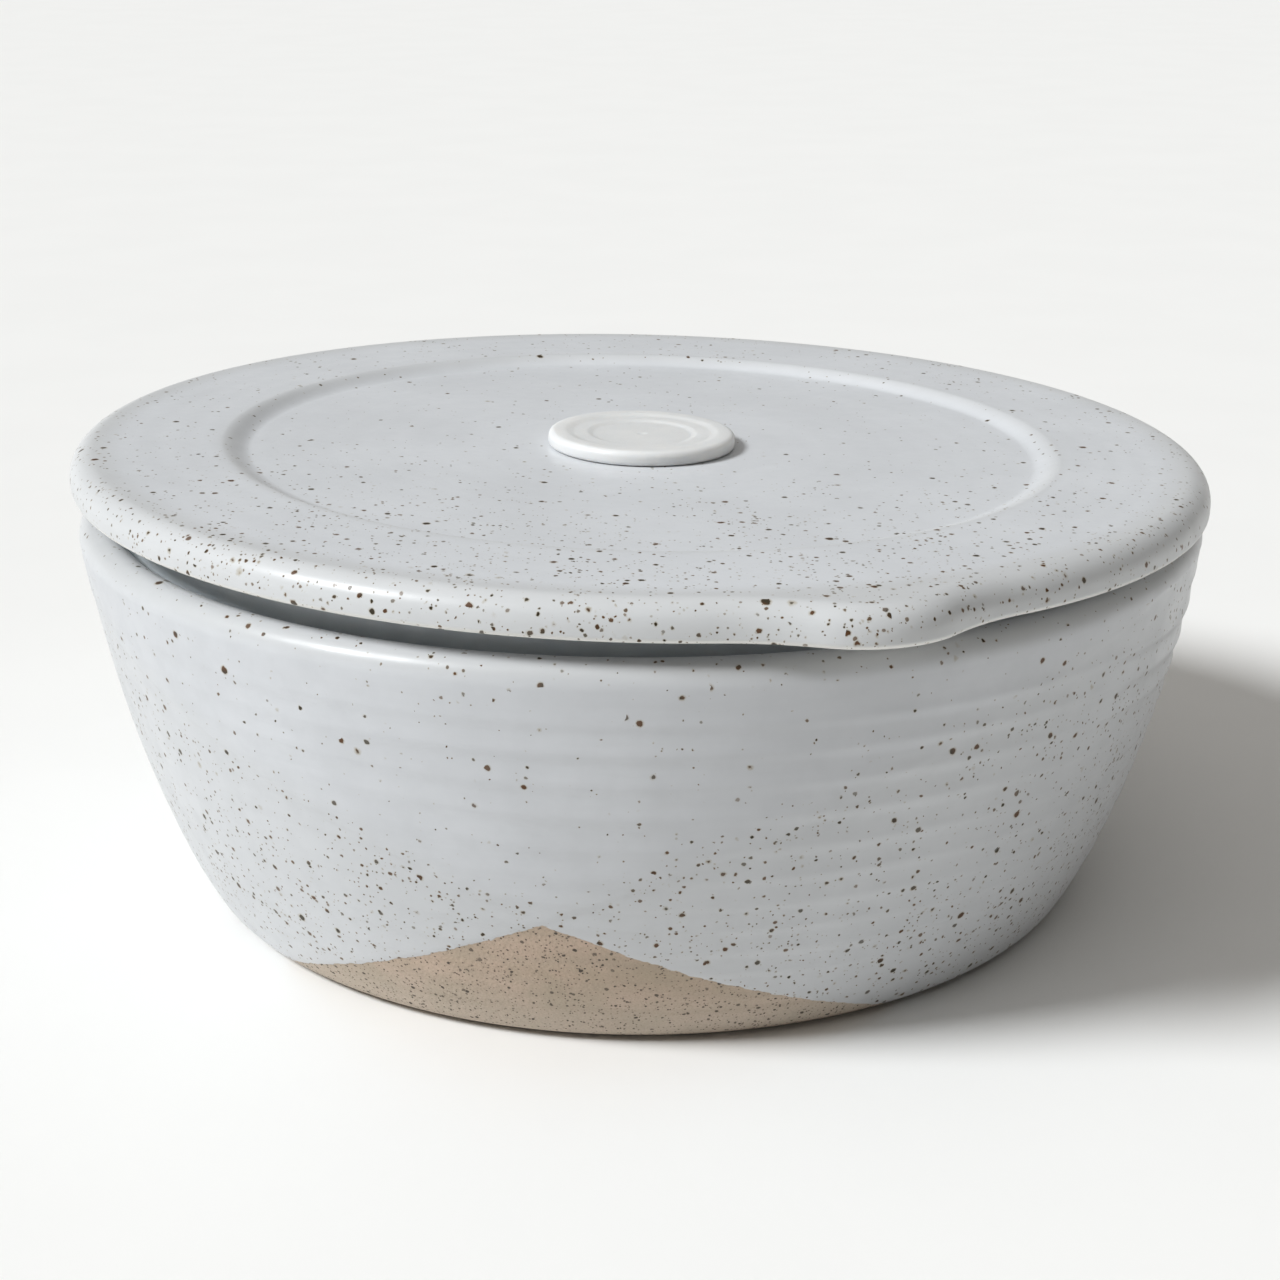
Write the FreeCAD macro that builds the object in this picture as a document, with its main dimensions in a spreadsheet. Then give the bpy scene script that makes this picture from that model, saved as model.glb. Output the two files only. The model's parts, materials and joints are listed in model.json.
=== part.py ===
"""Covered stoneware crock: a squat bowl, its lid, the lid's silicone gasket and the vent plug.

Frame: +Z up, origin at the middle of the circle that the foot stands on, -Y towards the front.
The lid lies as it is set down, not yet pressed home: it touches the rim at the back right and
stands open a few millimetres at the front left.
"""
import FreeCAD, Part
import math
import os

import Sketcher

Vector = FreeCAD.Vector
ORIGIN = (-1, 1)
X_AXIS = -1
Y_AXIS = -2

# Driving dimensions in millimetres, and angles in degrees
SIZES = {
    # bowl, outside
    "foot_inner_radius": 70.0,
    "foot_outer_radius": 83.9,
    "foot_recess": 2.0,
    "foot_round": 6.0,
    "haunch_radius": 77.0,
    "haunch_height": 14.0,
    "wall_radius": 245.0,
    "rim_height": 76.5,
    "rim_radius": 105.2,
    "lip_round": 3.8,
    # bowl, inside
    "floor_height": 8.5,
    "floor_radius": 70.0,
    "floor_round": 22.0,
    "inner_wall_radius": 235.0,
    # lid
    "lid_radius": 110.0,
    "lid_thickness": 6.8,
    "lid_top_round": 4.6,
    "lid_under_round": 1.2,
    "tab_reach": 116.6,
    "tab_tip_radius": 22.0,
    "tab_flank_radius": 50.0,
    "recess_depth": 1.8,
    "recess_floor_radius": 77.4,
    "recess_top_radius": 80.6,
    "recess_soften": 1.6,
    "flange_inner_radius": 92.5,
    "flange_neck_radius": 98.0,
    "flange_lip_radius": 99.2,
    "flange_neck_depth": 11.0,
    "flange_depth": 13.0,
    "flange_root": 1.0,
    "vent_hole_radius": 6.2,
    # how the lid lies
    "lid_tilt": 1.5,
    "tilt_heading": 21.2,
    "tab_turn": 20.0,
    "seat_gap": 0.1,
    # gasket
    "gasket_ease": 0.1,
    "gasket_band_radius": 99.7,
    "gasket_bead_radius": 100.8,
    "gasket_bead_round": 1.3,
    "gasket_depth": 10.8,
    # vent plug
    "cap_radius": 18.4,
    "cap_height": 2.9,
    "cap_round": 1.2,
    "cap_under_round": 0.7,
    "cap_ring_radius": 14.4,
    "cap_dish_radius": 10.3,
    "cap_step": 0.35,
    "dimple_radius": 0.9,
    "stem_radius": 6.0,
    "plug_travel": 4.5,
    "barb_radius": 8.2,
    "barb_edge": 0.8,
    "barb_height": 4.0,
    "barb_tip_radius": 5.0,
    "vent_slot_width": 2.4,
    "vent_slot_depth": 1.5,
}

PLATE = "lid_thickness - recess_depth"
STEM_LENGTH = PLATE + " + plug_travel"


def make_sheet(doc):
    """Put every driving dimension in a spreadsheet cell that has its own alias."""
    sheet = doc.addObject("Spreadsheet::Sheet", "sizes")
    for row, (alias, value) in enumerate(SIZES.items(), start=1):
        sheet.set(f"A{row}", alias)
        sheet.set(f"B{row}", str(value))
        sheet.setAlias(f"B{row}", alias)
    doc.recompute()
    return sheet


def measure(formula):
    """Value of a sum or difference of aliases, such as 'rim_height - lip_round'."""
    total = 0.0
    sign = 1
    for word in formula.split():
        if word in "+-":
            sign = 1 if word == "+" else -1
        else:
            total += sign * SIZES[word]
    return total


def bound(formula):
    """The same formula written as an expression on the spreadsheet."""
    return " ".join(word if word in "+-" else f"sizes.{word}" for word in formula.split())


class Profile:
    """A closed outline on one of a body's origin planes, with its dimensions on the sheet."""

    def __init__(self, body, name, plane):
        self.sketch = body.newObject("Sketcher::SketchObject", name)
        side = next(f for f in body.Origin.OriginFeatures if f.Role == plane)
        self.sketch.AttachmentSupport = [(side, "")]
        self.sketch.MapMode = "FlatFace"
        self.named = 0

    def constrain(self, kind, *where):
        return self.sketch.addConstraint(Sketcher.Constraint(kind, *where))

    def dimension(self, kind, *where, formula):
        """Add a constraint whose value is bound to the sheet."""
        index = self.constrain(kind, *where, measure(formula))
        self.named += 1
        name = f"size_{self.named}"
        self.sketch.renameConstraint(index, name)
        self.sketch.setExpression(f"Constraints.{name}", bound(formula))

    def across(self, geo, end, formula):
        """Distance of a point to the right of the vertical axis."""
        self.dimension("DistanceX", *ORIGIN, geo, end, formula=formula)

    def above(self, geo, end, formula):
        """Height of a point over the base line."""
        self.dimension("DistanceY", *ORIGIN, geo, end, formula=formula)

    def below(self, geo, end, formula):
        """Depth of a point under the base line."""
        self.dimension("DistanceY", geo, end, *ORIGIN, formula=formula)

    def radius(self, geo, formula):
        self.dimension("Radius", geo, formula=formula)

    def on_base(self, geo, end):
        self.constrain("PointOnObject", geo, end, X_AXIS)

    def on_axis(self, geo, end):
        self.constrain("PointOnObject", geo, end, Y_AXIS)

    def level(self, *edges):
        for edge in edges:
            self.constrain("Horizontal", edge)

    def plumb(self, *edges):
        for edge in edges:
            self.constrain("Vertical", edge)

    def end_near(self, geo, point):
        """The end of an edge that lies at a point: 1 for its start, 2 for its end."""
        gaps = {end: self.sketch.getPoint(geo, end).distanceToPoint(point) for end in (1, 2)}
        return min(gaps, key=gaps.get)

    def outline(self, start, steps):
        """Sketch a closed outline roughly, from point to point, for the constraints to fix.

        A step holds the end of a line, or the middle and the end of an arc. The word 'smooth'
        in it makes the edge tangent to the edge before it. Returns the edges in order.
        """
        edges = []
        corners = []
        here = Vector(*start, 0)
        for step in steps:
            points = [Vector(*place, 0) for place in step if place != "smooth"]
            curve = Part.Arc if len(points) == 2 else Part.LineSegment
            edges.append(self.sketch.addGeometry(curve(here, *points)))
            corners.append(here)
            here = points[-1]
        for number, step in enumerate(steps):
            kind = "Tangent" if "smooth" in step else "Coincident"
            where = []
            for edge in (edges[number - 1], edges[number]):
                where += [edge, self.end_near(edge, corners[number])]
            self.constrain(kind, *where)
        return edges


def new_body(doc, name):
    body = doc.addObject("PartDesign::Body", name)
    body.Label = name
    return body


def revolve(body, name, kind, profile):
    """Turn an outline right round the body's Z axis, to add or to cut material."""
    feature = body.newObject(kind, name)
    feature.Profile = profile.sketch
    feature.ReferenceAxis = (profile.sketch, ["V_Axis"])
    feature.Angle = 360
    body.Document.recompute()
    return feature


def fillet(body, name, alias, edges):
    """Round the named edges of the body's last feature."""
    last = body.Tip
    feature = body.newObject("PartDesign::Fillet", name)
    feature.Base = (last, edges)
    feature.setExpression("Radius", f"sizes.{alias}")
    body.Document.recompute()
    return feature


def edges_at(shape, height, radius=None):
    """Names of a shape's edges that lie level at a height, and at a radius where one is given."""
    found = []
    for number, edge in enumerate(shape.Edges, start=1):
        box = edge.BoundBox
        level = max(abs(box.ZMin - height), abs(box.ZMax - height)) < 1e-3
        point = edge.Vertexes[0].Point
        if level and (radius is None or abs(math.hypot(point.x, point.y) - radius) < 1e-3):
            found.append(f"Edge{number}")
    return found


def make_bowl(doc):
    """Thrown bowl: foot ring, rounded haunch, slightly curved wall and a full round lip."""
    body = new_body(doc, "bowl")
    shape = Profile(body, "bowl_section", "XZ_Plane")
    ring, foot, haunch, wall, lip, inner, corner, base, axis, recess, step = shape.outline(
        (70, 0),
        [
            ((83.9, 0),),
            ((87.0, 0.9), (89.1, 3.0), "smooth"),
            ((91.8, 8.0), (94.7, 14.0), "smooth"),
            ((104.5, 44.0), (109.0, 72.2), "smooth"),
            ((105.2, 76.5), (101.4, 73.1), "smooth"),
            ((97.8, 48.0), (90.9, 23.6), "smooth"),
            ((82.9, 12.7), (70.0, 8.5), "smooth"),
            ((0, 8.5), "smooth"),
            ((0, 2),),
            ((70, 2),),
            ((70, 0),),
        ],
    )
    shape.across(ring, 1, "foot_inner_radius")
    shape.across(ring, 2, "foot_outer_radius")
    shape.on_base(ring, 1)
    shape.level(ring, recess)
    shape.plumb(step, axis)
    shape.radius(foot, "foot_round")
    shape.radius(haunch, "haunch_radius")
    shape.above(haunch, 2, "haunch_height")
    shape.radius(wall, "wall_radius")
    shape.radius(lip, "lip_round")
    shape.across(lip, 3, "rim_radius")
    shape.above(lip, 3, "rim_height - lip_round")
    shape.radius(inner, "inner_wall_radius")
    shape.radius(corner, "floor_round")
    shape.across(base, 1, "floor_radius")
    shape.above(base, 1, "floor_height")
    shape.level(base)
    shape.on_axis(axis, 1)
    shape.above(axis, 2, "foot_recess")
    revolve(body, "thrown_wall", "PartDesign::Revolution", shape)
    return body


def make_lid(doc):
    """Lid: a round plate with a lift tab, a shallow recess on top and a grooved flange below."""
    body = new_body(doc, "lid")
    plan = Profile(body, "lid_plan", "XY_Plane")
    rim, left_flank, tip, right_flank = plan.outline(
        (26.7, -106.7),
        [
            ((0, 110), (-26.7, -106.7), "smooth"),
            ((-18.7, -109.6), (-11.9, -113.1), "smooth"),
            ((0, -116.6), (11.9, -113.1), "smooth"),
            ((18.7, -109.6), (26.7, -106.7), "smooth"),
        ],
    )
    plan.constrain("Coincident", rim, 3, *ORIGIN)
    plan.radius(rim, "lid_radius")
    plan.radius(tip, "tab_tip_radius")
    plan.radius(left_flank, "tab_flank_radius")
    plan.radius(right_flank, "tab_flank_radius")
    plan.on_axis(tip, 3)
    plan.below(tip, 3, "tab_reach - tab_tip_radius")
    plate = body.newObject("PartDesign::Pad", "plate")
    plate.Profile = plan.sketch
    plate.setExpression("Length", "sizes.lid_thickness")
    doc.recompute()
    thickness = SIZES["lid_thickness"]
    fillet(body, "upper_edge", "lid_top_round", edges_at(plate.Shape, thickness))
    fillet(body, "lower_edge", "lid_under_round", edges_at(body.Tip.Shape, 0))

    dish = Profile(body, "recess_section", "XZ_Plane")
    floor, side, mouth, middle = dish.outline(
        (0, 5.0), [((77.4, 5.0),), ((80.6, 6.8),), ((0, 6.8),), ((0, 5.0),)]
    )
    dish.on_axis(floor, 1)
    dish.above(floor, 1, PLATE)
    dish.across(floor, 2, "recess_floor_radius")
    dish.across(side, 2, "recess_top_radius")
    dish.above(side, 2, "lid_thickness")
    dish.level(floor, mouth)
    dish.plumb(middle)
    revolve(body, "recess", "PartDesign::Groove", dish)
    for name, height, radius in [
        ("recess_lip", "lid_thickness", "recess_top_radius"),
        ("recess_corner", PLATE, "recess_floor_radius"),
    ]:
        edges = edges_at(body.Tip.Shape, measure(height), measure(radius))
        fillet(body, name, "recess_soften", edges)

    ring = Profile(body, "flange_section", "XZ_Plane")
    inside, root, neck, lip_top, lip_side, foot = ring.outline(
        (92.5, -13),
        [
            ((92.5, 1),),
            ((98, 1),),
            ((98, -11),),
            ((99.2, -11),),
            ((99.2, -13),),
            ((92.5, -13),),
        ],
    )
    ring.across(inside, 1, "flange_inner_radius")
    ring.below(inside, 1, "flange_depth")
    ring.above(inside, 2, "flange_root")
    ring.across(root, 2, "flange_neck_radius")
    ring.below(neck, 2, "flange_neck_depth")
    ring.across(lip_top, 2, "flange_lip_radius")
    ring.level(root, lip_top, foot)
    ring.plumb(inside, neck, lip_side)
    revolve(body, "flange", "PartDesign::Revolution", ring)

    hole = Profile(body, "vent_hole_plan", "XY_Plane")
    circle = hole.sketch.addGeometry(Part.Circle(Vector(0, 0, 0), Vector(0, 0, 1), 6.2))
    hole.constrain("Coincident", circle, 3, *ORIGIN)
    hole.radius(circle, "vent_hole_radius")
    vent = body.newObject("PartDesign::Pocket", "vent_hole")
    vent.Profile = hole.sketch
    vent.setExpression("Length", "sizes.lid_thickness")
    vent.Reversed = True
    doc.recompute()
    return body


def make_gasket(doc):
    """Silicone gasket: a smooth band round the flange's neck, with one sealing bead below."""
    body = new_body(doc, "lid_gasket")
    shape = Profile(body, "gasket_section", "XZ_Plane")
    top, band, bead, under, inside = shape.outline(
        (98.1, -0.1),
        [
            ((99.7, -0.1),),
            ((99.7, -8.2),),
            ((100.8, -9.5), (99.5, -10.8)),
            ((98.1, -10.8), "smooth"),
            ((98.1, -0.1),),
        ],
    )
    shape.across(top, 1, "flange_neck_radius + gasket_ease")
    shape.below(top, 1, "gasket_ease")
    shape.across(band, 1, "gasket_band_radius")
    shape.level(top, under)
    shape.plumb(band, inside)
    shape.radius(bead, "gasket_bead_round")
    shape.across(bead, 3, "gasket_bead_radius - gasket_bead_round")
    shape.below(bead, 3, "gasket_depth - gasket_bead_round")
    revolve(body, "gasket_ring", "PartDesign::Revolution", shape)
    return body


def make_plug(doc):
    """Silicone vent plug: a dished cap on a stem, with a barb under the lid to keep it in."""
    body = new_body(doc, "vent_plug")
    shape = Profile(body, "plug_section", "XZ_Plane")
    edges = shape.outline(
        (0, 1.85),
        [
            ((0.9, 1.85),),
            ((0.9, 2.2),),
            ((10.3, 2.2),),
            ((10.3, 2.55),),
            ((14.4, 2.55),),
            ((14.4, 2.9),),
            ((18.4, 2.9),),
            ((18.4, 0),),
            ((6.0, 0),),
            ((6.0, -9.5),),
            ((8.2, -9.5),),
            ((8.2, -10.3),),
            ((5.0, -13.5),),
            ((0, -13.5),),
            ((0, 1.85),),
        ],
    )
    dimple, dimple_side, dish, dish_side, ring, ring_side, rim, edge, under = edges[:9]
    stem, shoulder, barb_side, barb, tip, middle = edges[9:]
    shape.level(dimple, dish, ring, rim, under, shoulder, tip)
    shape.plumb(dimple_side, dish_side, ring_side, edge, stem, barb_side, middle)
    shape.on_axis(dimple, 1)
    shape.above(dimple, 1, "cap_height - cap_step - cap_step - cap_step")
    shape.across(dimple, 2, "dimple_radius")
    shape.above(dish, 1, "cap_height - cap_step - cap_step")
    shape.across(dish, 2, "cap_dish_radius")
    shape.above(ring, 1, "cap_height - cap_step")
    shape.across(ring, 2, "cap_ring_radius")
    shape.above(rim, 1, "cap_height")
    shape.across(rim, 2, "cap_radius")
    shape.on_base(edge, 2)
    shape.across(stem, 1, "stem_radius")
    shape.below(shoulder, 1, STEM_LENGTH)
    shape.across(shoulder, 2, "barb_radius")
    shape.below(barb, 1, STEM_LENGTH + " + barb_edge")
    shape.across(tip, 1, "barb_tip_radius")
    shape.below(tip, 1, STEM_LENGTH + " + barb_height")
    revolve(body, "mushroom", "PartDesign::Revolution", shape)
    cap_radius = SIZES["cap_radius"]
    top_edge = edges_at(body.Tip.Shape, SIZES["cap_height"], cap_radius)
    fillet(body, "cap_edge", "cap_round", top_edge)
    fillet(body, "cap_under_edge", "cap_under_round", edges_at(body.Tip.Shape, 0, cap_radius))

    slot = Profile(body, "vent_slot_plan", "XY_Plane")
    near, outer, far, inner = slot.outline(
        (4.5, -1.2), [((9.0, -1.2),), ((9.0, 1.2),), ((4.5, 1.2),), ((4.5, -1.2),)]
    )
    slot.level(near, far)
    slot.plumb(inner)
    slot.across(near, 1, "stem_radius - vent_slot_depth")
    slot.across(near, 2, "barb_radius + barb_edge")
    slot.dimension("DistanceY", outer, 1, outer, 2, formula="vent_slot_width")
    slot.constrain("Symmetric", outer, 1, outer, 2, X_AXIS)
    channel = body.newObject("PartDesign::Pocket", "vent_slot")
    channel.Profile = slot.sketch
    channel.setExpression("Length", bound(STEM_LENGTH + " + barb_height"))
    doc.recompute()
    return body


def lid_placement():
    """Where the lid lies: tilted about the point of the rim that it touches."""
    tilt = SIZES["lid_tilt"]
    heading = math.radians(SIZES["tilt_heading"])
    rise = SIZES["rim_radius"] * math.tan(math.radians(tilt)) + SIZES["seat_gap"]
    lean = FreeCAD.Rotation(Vector(-math.sin(heading), math.cos(heading), 0), tilt)
    turn = FreeCAD.Rotation(Vector(0, 0, 1), SIZES["tab_turn"])
    return FreeCAD.Placement(Vector(0, 0, SIZES["rim_height"] + rise), lean * turn)


def check(doc, bodies):
    """Stop if any object failed to recompute, or any sub-part is not a sound solid."""
    for item in doc.Objects:
        if "Invalid" in item.State or "Error" in item.State:
            raise RuntimeError(f"{item.Name} failed: {item.State}")
    for body in bodies:
        if body.Shape.isNull() or not body.Shape.isValid() or len(body.Shape.Solids) != 1:
            raise RuntimeError(f"{body.Label} is not one valid solid")


def main():
    doc = FreeCAD.newDocument("covered_crock")
    make_sheet(doc)
    bowl = make_bowl(doc)
    lid = make_lid(doc)
    gasket = make_gasket(doc)
    plug = make_plug(doc)

    lid.Placement = lid_placement()
    gasket.Placement = lid.Placement
    on_plate = FreeCAD.Placement(Vector(0, 0, measure(PLATE)), FreeCAD.Rotation())
    plug.Placement = lid.Placement * on_plate
    doc.recompute()

    bodies = [bowl, lid, gasket, plug]
    check(doc, bodies)
    os.makedirs("parts", exist_ok=True)
    for body in bodies:
        body.Shape.exportStep(f"parts/{body.Label}.step")
        print(f"{body.Label}: {body.Shape.Volume / 1000:.1f} cm3")
    up = lid.Placement.Rotation.multVec(Vector(0, 0, 1))
    print(f"lid axis: {up.x:.6f} {up.y:.6f} {up.z:.6f}")


main()
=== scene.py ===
"""The looks of a speckled stoneware bowl with its heavy lid, seal ring and vent plug.

Shapes are in metres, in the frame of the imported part. Materials work in millimetres.
Each piece is a fine mesh with its own procedural glaze, clay or silicone.
"""

import json
import math

import bpy
import numpy as np
from mathutils import Matrix, Vector


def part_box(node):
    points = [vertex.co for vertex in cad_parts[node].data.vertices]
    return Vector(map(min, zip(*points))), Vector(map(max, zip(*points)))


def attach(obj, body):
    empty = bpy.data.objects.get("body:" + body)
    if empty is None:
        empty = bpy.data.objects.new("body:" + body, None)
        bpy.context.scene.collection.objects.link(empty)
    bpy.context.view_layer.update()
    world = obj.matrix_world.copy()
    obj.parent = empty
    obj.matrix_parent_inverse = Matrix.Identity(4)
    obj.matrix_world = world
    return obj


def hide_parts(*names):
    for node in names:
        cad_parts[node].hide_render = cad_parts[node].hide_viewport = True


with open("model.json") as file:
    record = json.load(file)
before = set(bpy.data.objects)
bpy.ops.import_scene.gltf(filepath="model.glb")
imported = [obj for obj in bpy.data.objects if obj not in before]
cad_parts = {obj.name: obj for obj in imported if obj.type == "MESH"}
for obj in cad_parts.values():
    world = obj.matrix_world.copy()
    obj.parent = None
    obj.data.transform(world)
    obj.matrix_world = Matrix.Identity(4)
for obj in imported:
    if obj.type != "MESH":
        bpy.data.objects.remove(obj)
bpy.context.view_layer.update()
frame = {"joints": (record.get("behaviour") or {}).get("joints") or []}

MM = 0.001
# A whole turn, half of one and a quarter, in radians.
TURN = 2 * math.pi
HALF = math.pi
QUARTER = math.pi / 2

# The bowl, from its foot to its floor.
FOOT_OUTER = 83.9 * MM
FOOT_INNER = 70.0 * MM
FOOT_RECESS = 2.0 * MM
FOOT_ROUND = 6.0 * MM
HAUNCH_RADIUS = 77.0 * MM
WALL_RADIUS = 245.0 * MM
LIP_ROUND = 3.8 * MM
INNER_WALL_RADIUS = 235.0 * MM
FLOOR_ROUND = 22.0 * MM
# Angles of the surface normal above the horizontal where one arc meets the next.
HAUNCH_START = math.radians(-30.21)
WALL_START = math.radians(-21.11)
LIP_START = math.radians(-7.03)
LIP_END = math.radians(174.17)
FLOOR_ROUND_START = math.radians(161.82)

# The lid, in its own frame: z = 0 is its lower edge.
LID_RADIUS = 110.0 * MM
LID_THICKNESS = 6.8 * MM
LID_TOP_ROUND = 4.6 * MM
LID_UNDER_ROUND = 1.2 * MM
TAB_REACH = 116.6 * MM
TAB_TIP_RADIUS = 22.0 * MM
TAB_FLANK_RADIUS = 50.0 * MM
TAB_TURN = math.radians(20)
TAB_SPREAD_FROM = 88 * MM
RECESS_DEPTH = 1.8 * MM
RECESS_FLOOR = 77.4 * MM
RECESS_TOP = 80.6 * MM
RECESS_SOFTEN = 1.2 * MM
VENT_HOLE = 6.2 * MM
VENT_ROUND = 0.8 * MM
FLANGE_INNER = 92.5 * MM
FLANGE_NECK = 98.0 * MM
FLANGE_LIP = 99.2 * MM
FLANGE_ROOT = 1.0 * MM
FLANGE_ROUND = 0.6 * MM
NECK_DEPTH = 11.0 * MM
FLANGE_DEPTH = 13.0 * MM
SEAT_GAP = 0.1 * MM

# The seal ring.
SEAL_EASE = 0.1 * MM
SEAL_BAND = 99.7 * MM
SEAL_BEAD = 100.8 * MM
SEAL_TOP = -1.2 * MM
SEAL_DEPTH = 10.8 * MM
SEAL_ROUND = 0.3 * MM
BEAD_LOW, BEAD_HIGH = 0.3 * MM, 2.9 * MM

# The vent plug.
CAP_RADIUS = 18.4 * MM
CAP_HEIGHT = 2.9 * MM
CAP_ROUND = 1.2 * MM
CAP_UNDER_ROUND = 0.7 * MM
RING_INNER = 14.4 * MM
DISH_RADIUS = 10.3 * MM
CAP_STEP = 0.35 * MM
DIMPLE_DEPTH = 0.25 * MM
CAP_LIFT = 0.05 * MM
STEM_RADIUS = 6.0 * MM
BARB_RADIUS = 8.2 * MM
BARB_EDGE = 0.8 * MM
BARB_HEIGHT = 4.0 * MM
PLUG_TIP = 5.0 * MM
PLUG_TRAVEL = 4.5 * MM
SLOT_WIDTH = 2.4 * MM
SLOT_DEPTH = 1.5 * MM

# Marks of the making.
RING_PITCH = 5.7 * MM
RING_HEIGHT = 0.18 * MM
COAT_THICKNESS = 0.12 * MM
COAT_EDGE = 0.35 * MM
WALL_UNEVEN = 0.22 * MM
LID_RIPPLE_PITCH = 5.9 * MM
LID_RIPPLE = 0.02 * MM
LID_UNEVEN = 0.10 * MM

# Each dip of the bowl in the glaze ended at a tilted plane: its rise along x and y, its height.
FIRST_DIP = (0.4556, -0.0867, 25.9 * MM)
SECOND_DIP = (-0.4285, 0.0077, 20.6 * MM)

BOWL_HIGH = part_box("bowl")[1]
RIM_HEIGHT = BOWL_HIGH.z
RIM_RADIUS = BOWL_HIGH.x - LIP_ROUND


# --- Outlines and meshes --------------------------------------------------------------------


class Outline:
    """A section drawn on from point to point, in rows of radius and height."""

    def __init__(self, *start):
        self.path = np.array([start], float)

    def line(self, radius, height, step):
        """A straight run to a point."""
        start, end = self.path[-1], np.array([radius, height])
        count = max(1, math.ceil(np.linalg.norm(end - start) / step))
        self.follow(start + (end - start) * np.linspace(0, 1, count + 1)[1:, None])

    def arc(self, normal, radius, until, step):
        """A curve whose surface normal turns from one angle to another.

        A negative radius bends the other way, as on the inside of a bowl.
        """
        centre = self.path[-1] - radius * np.array([math.cos(normal), math.sin(normal)])
        count = max(3, math.ceil(abs(radius * (until - normal)) / step))
        angles = np.linspace(normal, until, count + 1)[1:]
        self.follow(centre + radius * np.column_stack([np.cos(angles), np.sin(angles)]))

    def follow(self, rows):
        """A run through points that are worked out elsewhere."""
        self.path = np.vstack([self.path, rows])

    def rows(self):
        """Every point but the start."""
        return self.path[1:]


def s_curve(x, low, high):
    """0 below low, 1 above high, smooth in between."""
    t = np.clip((x - low) / (high - low), 0, 1)
    return t * t * (3 - 2 * t)


def hump(x, low, high, rise, fall):
    """Climbs from 0 to 1 in a width of rise above low, and back to 0 in fall above high."""
    return s_curve(x, low, low + rise) * (1 - s_curve(x, high, high + fall))


def wander(theta, along, waves, seed):
    """A smooth random number between about -1 and 1 for each place on a turned piece.

    It sums some waves round the piece, which lean as they run along the outline.
    """
    chance = np.random.default_rng(seed)
    length, whole_swing = 9 * MM, 1.6
    total = 0
    for harmonic in range(1, waves + 1):
        phase, lean = chance.uniform(0, TURN), chance.uniform(-1, 1)
        total = total + np.sin(harmonic * theta + phase + lean * along / length) / harmonic
    return total / whole_swing


def around(columns):
    """Polar angles of the columns of a mesh that goes right round."""
    return np.linspace(0, TURN, columns, endpoint=False)


def turned(outline, theta):
    """The grid of points made by turning an outline."""
    radius, height = outline[:, :1], outline[:, 1:]
    flat = np.ones_like(theta)[None, :]
    return np.stack([radius * np.cos(theta), radius * np.sin(theta), height * flat], -1)


def outline_normals(outline):
    """Unit normals of an outline, pointing away from the clay when it runs up the outside."""
    tangent = np.gradient(outline, axis=0)
    tangent /= np.linalg.norm(tangent, axis=1, keepdims=True)
    return np.column_stack([tangent[:, 1], -tangent[:, 0]])


def placed(grid, placement):
    """The grid moved from a piece's own frame to the frame of the part."""
    matrix = np.array(placement)
    return grid @ matrix[:3, :3].T + matrix[:3, 3]


def smooth_mesh(name, grid, closed_rows=False):
    """An object made of a grid of points, rows by columns, whose columns go right round."""
    rows, columns = grid.shape[:2]
    number = np.arange(rows * columns).reshape(rows, columns)
    below = number if closed_rows else number[:-1]
    above = np.roll(number, -1, axis=0) if closed_rows else number[1:]
    quads = np.stack([below, np.roll(below, -1, 1), np.roll(above, -1, 1), above], -1)
    mesh = bpy.data.meshes.new(name)
    mesh.from_pydata(grid.reshape(-1, 3).tolist(), [], quads.reshape(-1, 4).tolist())
    mesh.polygons.foreach_set("use_smooth", [True] * len(mesh.polygons))
    mesh.update()
    piece = bpy.data.objects.new(name, mesh)
    bpy.context.scene.collection.objects.link(piece)
    return piece


def mark(piece, name, values):
    """Stores one number per vertex for the materials to read."""
    attribute = piece.data.attributes.new(name, "FLOAT", "POINT")
    attribute.data.foreach_set("value", np.asarray(values, np.float32).ravel())


# --- Bowl -----------------------------------------------------------------------------------


def bowl_outline():
    """The bowl's section, from the middle of the foot up the outside and down the inside.

    With it come the numbers of the rows where the outer wall starts and ends.
    """
    coarse, fine = 1.5 * MM, 0.45 * MM
    axis_gap = 0.5 * MM
    section = Outline(axis_gap, FOOT_RECESS)
    section.line(FOOT_INNER - FOOT_RECESS, FOOT_RECESS, 6 * MM)
    section.line(FOOT_INNER, 0, coarse)
    section.line(FOOT_OUTER, 0, coarse)
    wall_start = len(section.rows())
    section.arc(-QUARTER, FOOT_ROUND, HAUNCH_START, fine)
    section.arc(HAUNCH_START, HAUNCH_RADIUS, WALL_START, fine)
    section.arc(WALL_START, WALL_RADIUS, LIP_START, fine)
    wall_end = len(section.rows())
    section.arc(LIP_START, LIP_ROUND, LIP_END, fine)
    section.arc(LIP_END, -INNER_WALL_RADIUS, FLOOR_ROUND_START, coarse)
    section.arc(FLOOR_ROUND_START, -FLOOR_ROUND, QUARTER, coarse)
    section.line(axis_gap, section.path[-1][1], 3 * MM)
    return section.rows(), wall_start, wall_end


def coats_of_glaze(x, y, z, wobble):
    """How many coats lie at a place on the outside: none, one or two."""
    coats = 0
    for rise_x, rise_y, height in (FIRST_DIP, SECOND_DIP):
        above = z - rise_x * x - rise_y * y - height
        coats = coats + s_curve(above + wobble, -COAT_EDGE, COAT_EDGE)
    return coats


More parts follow.
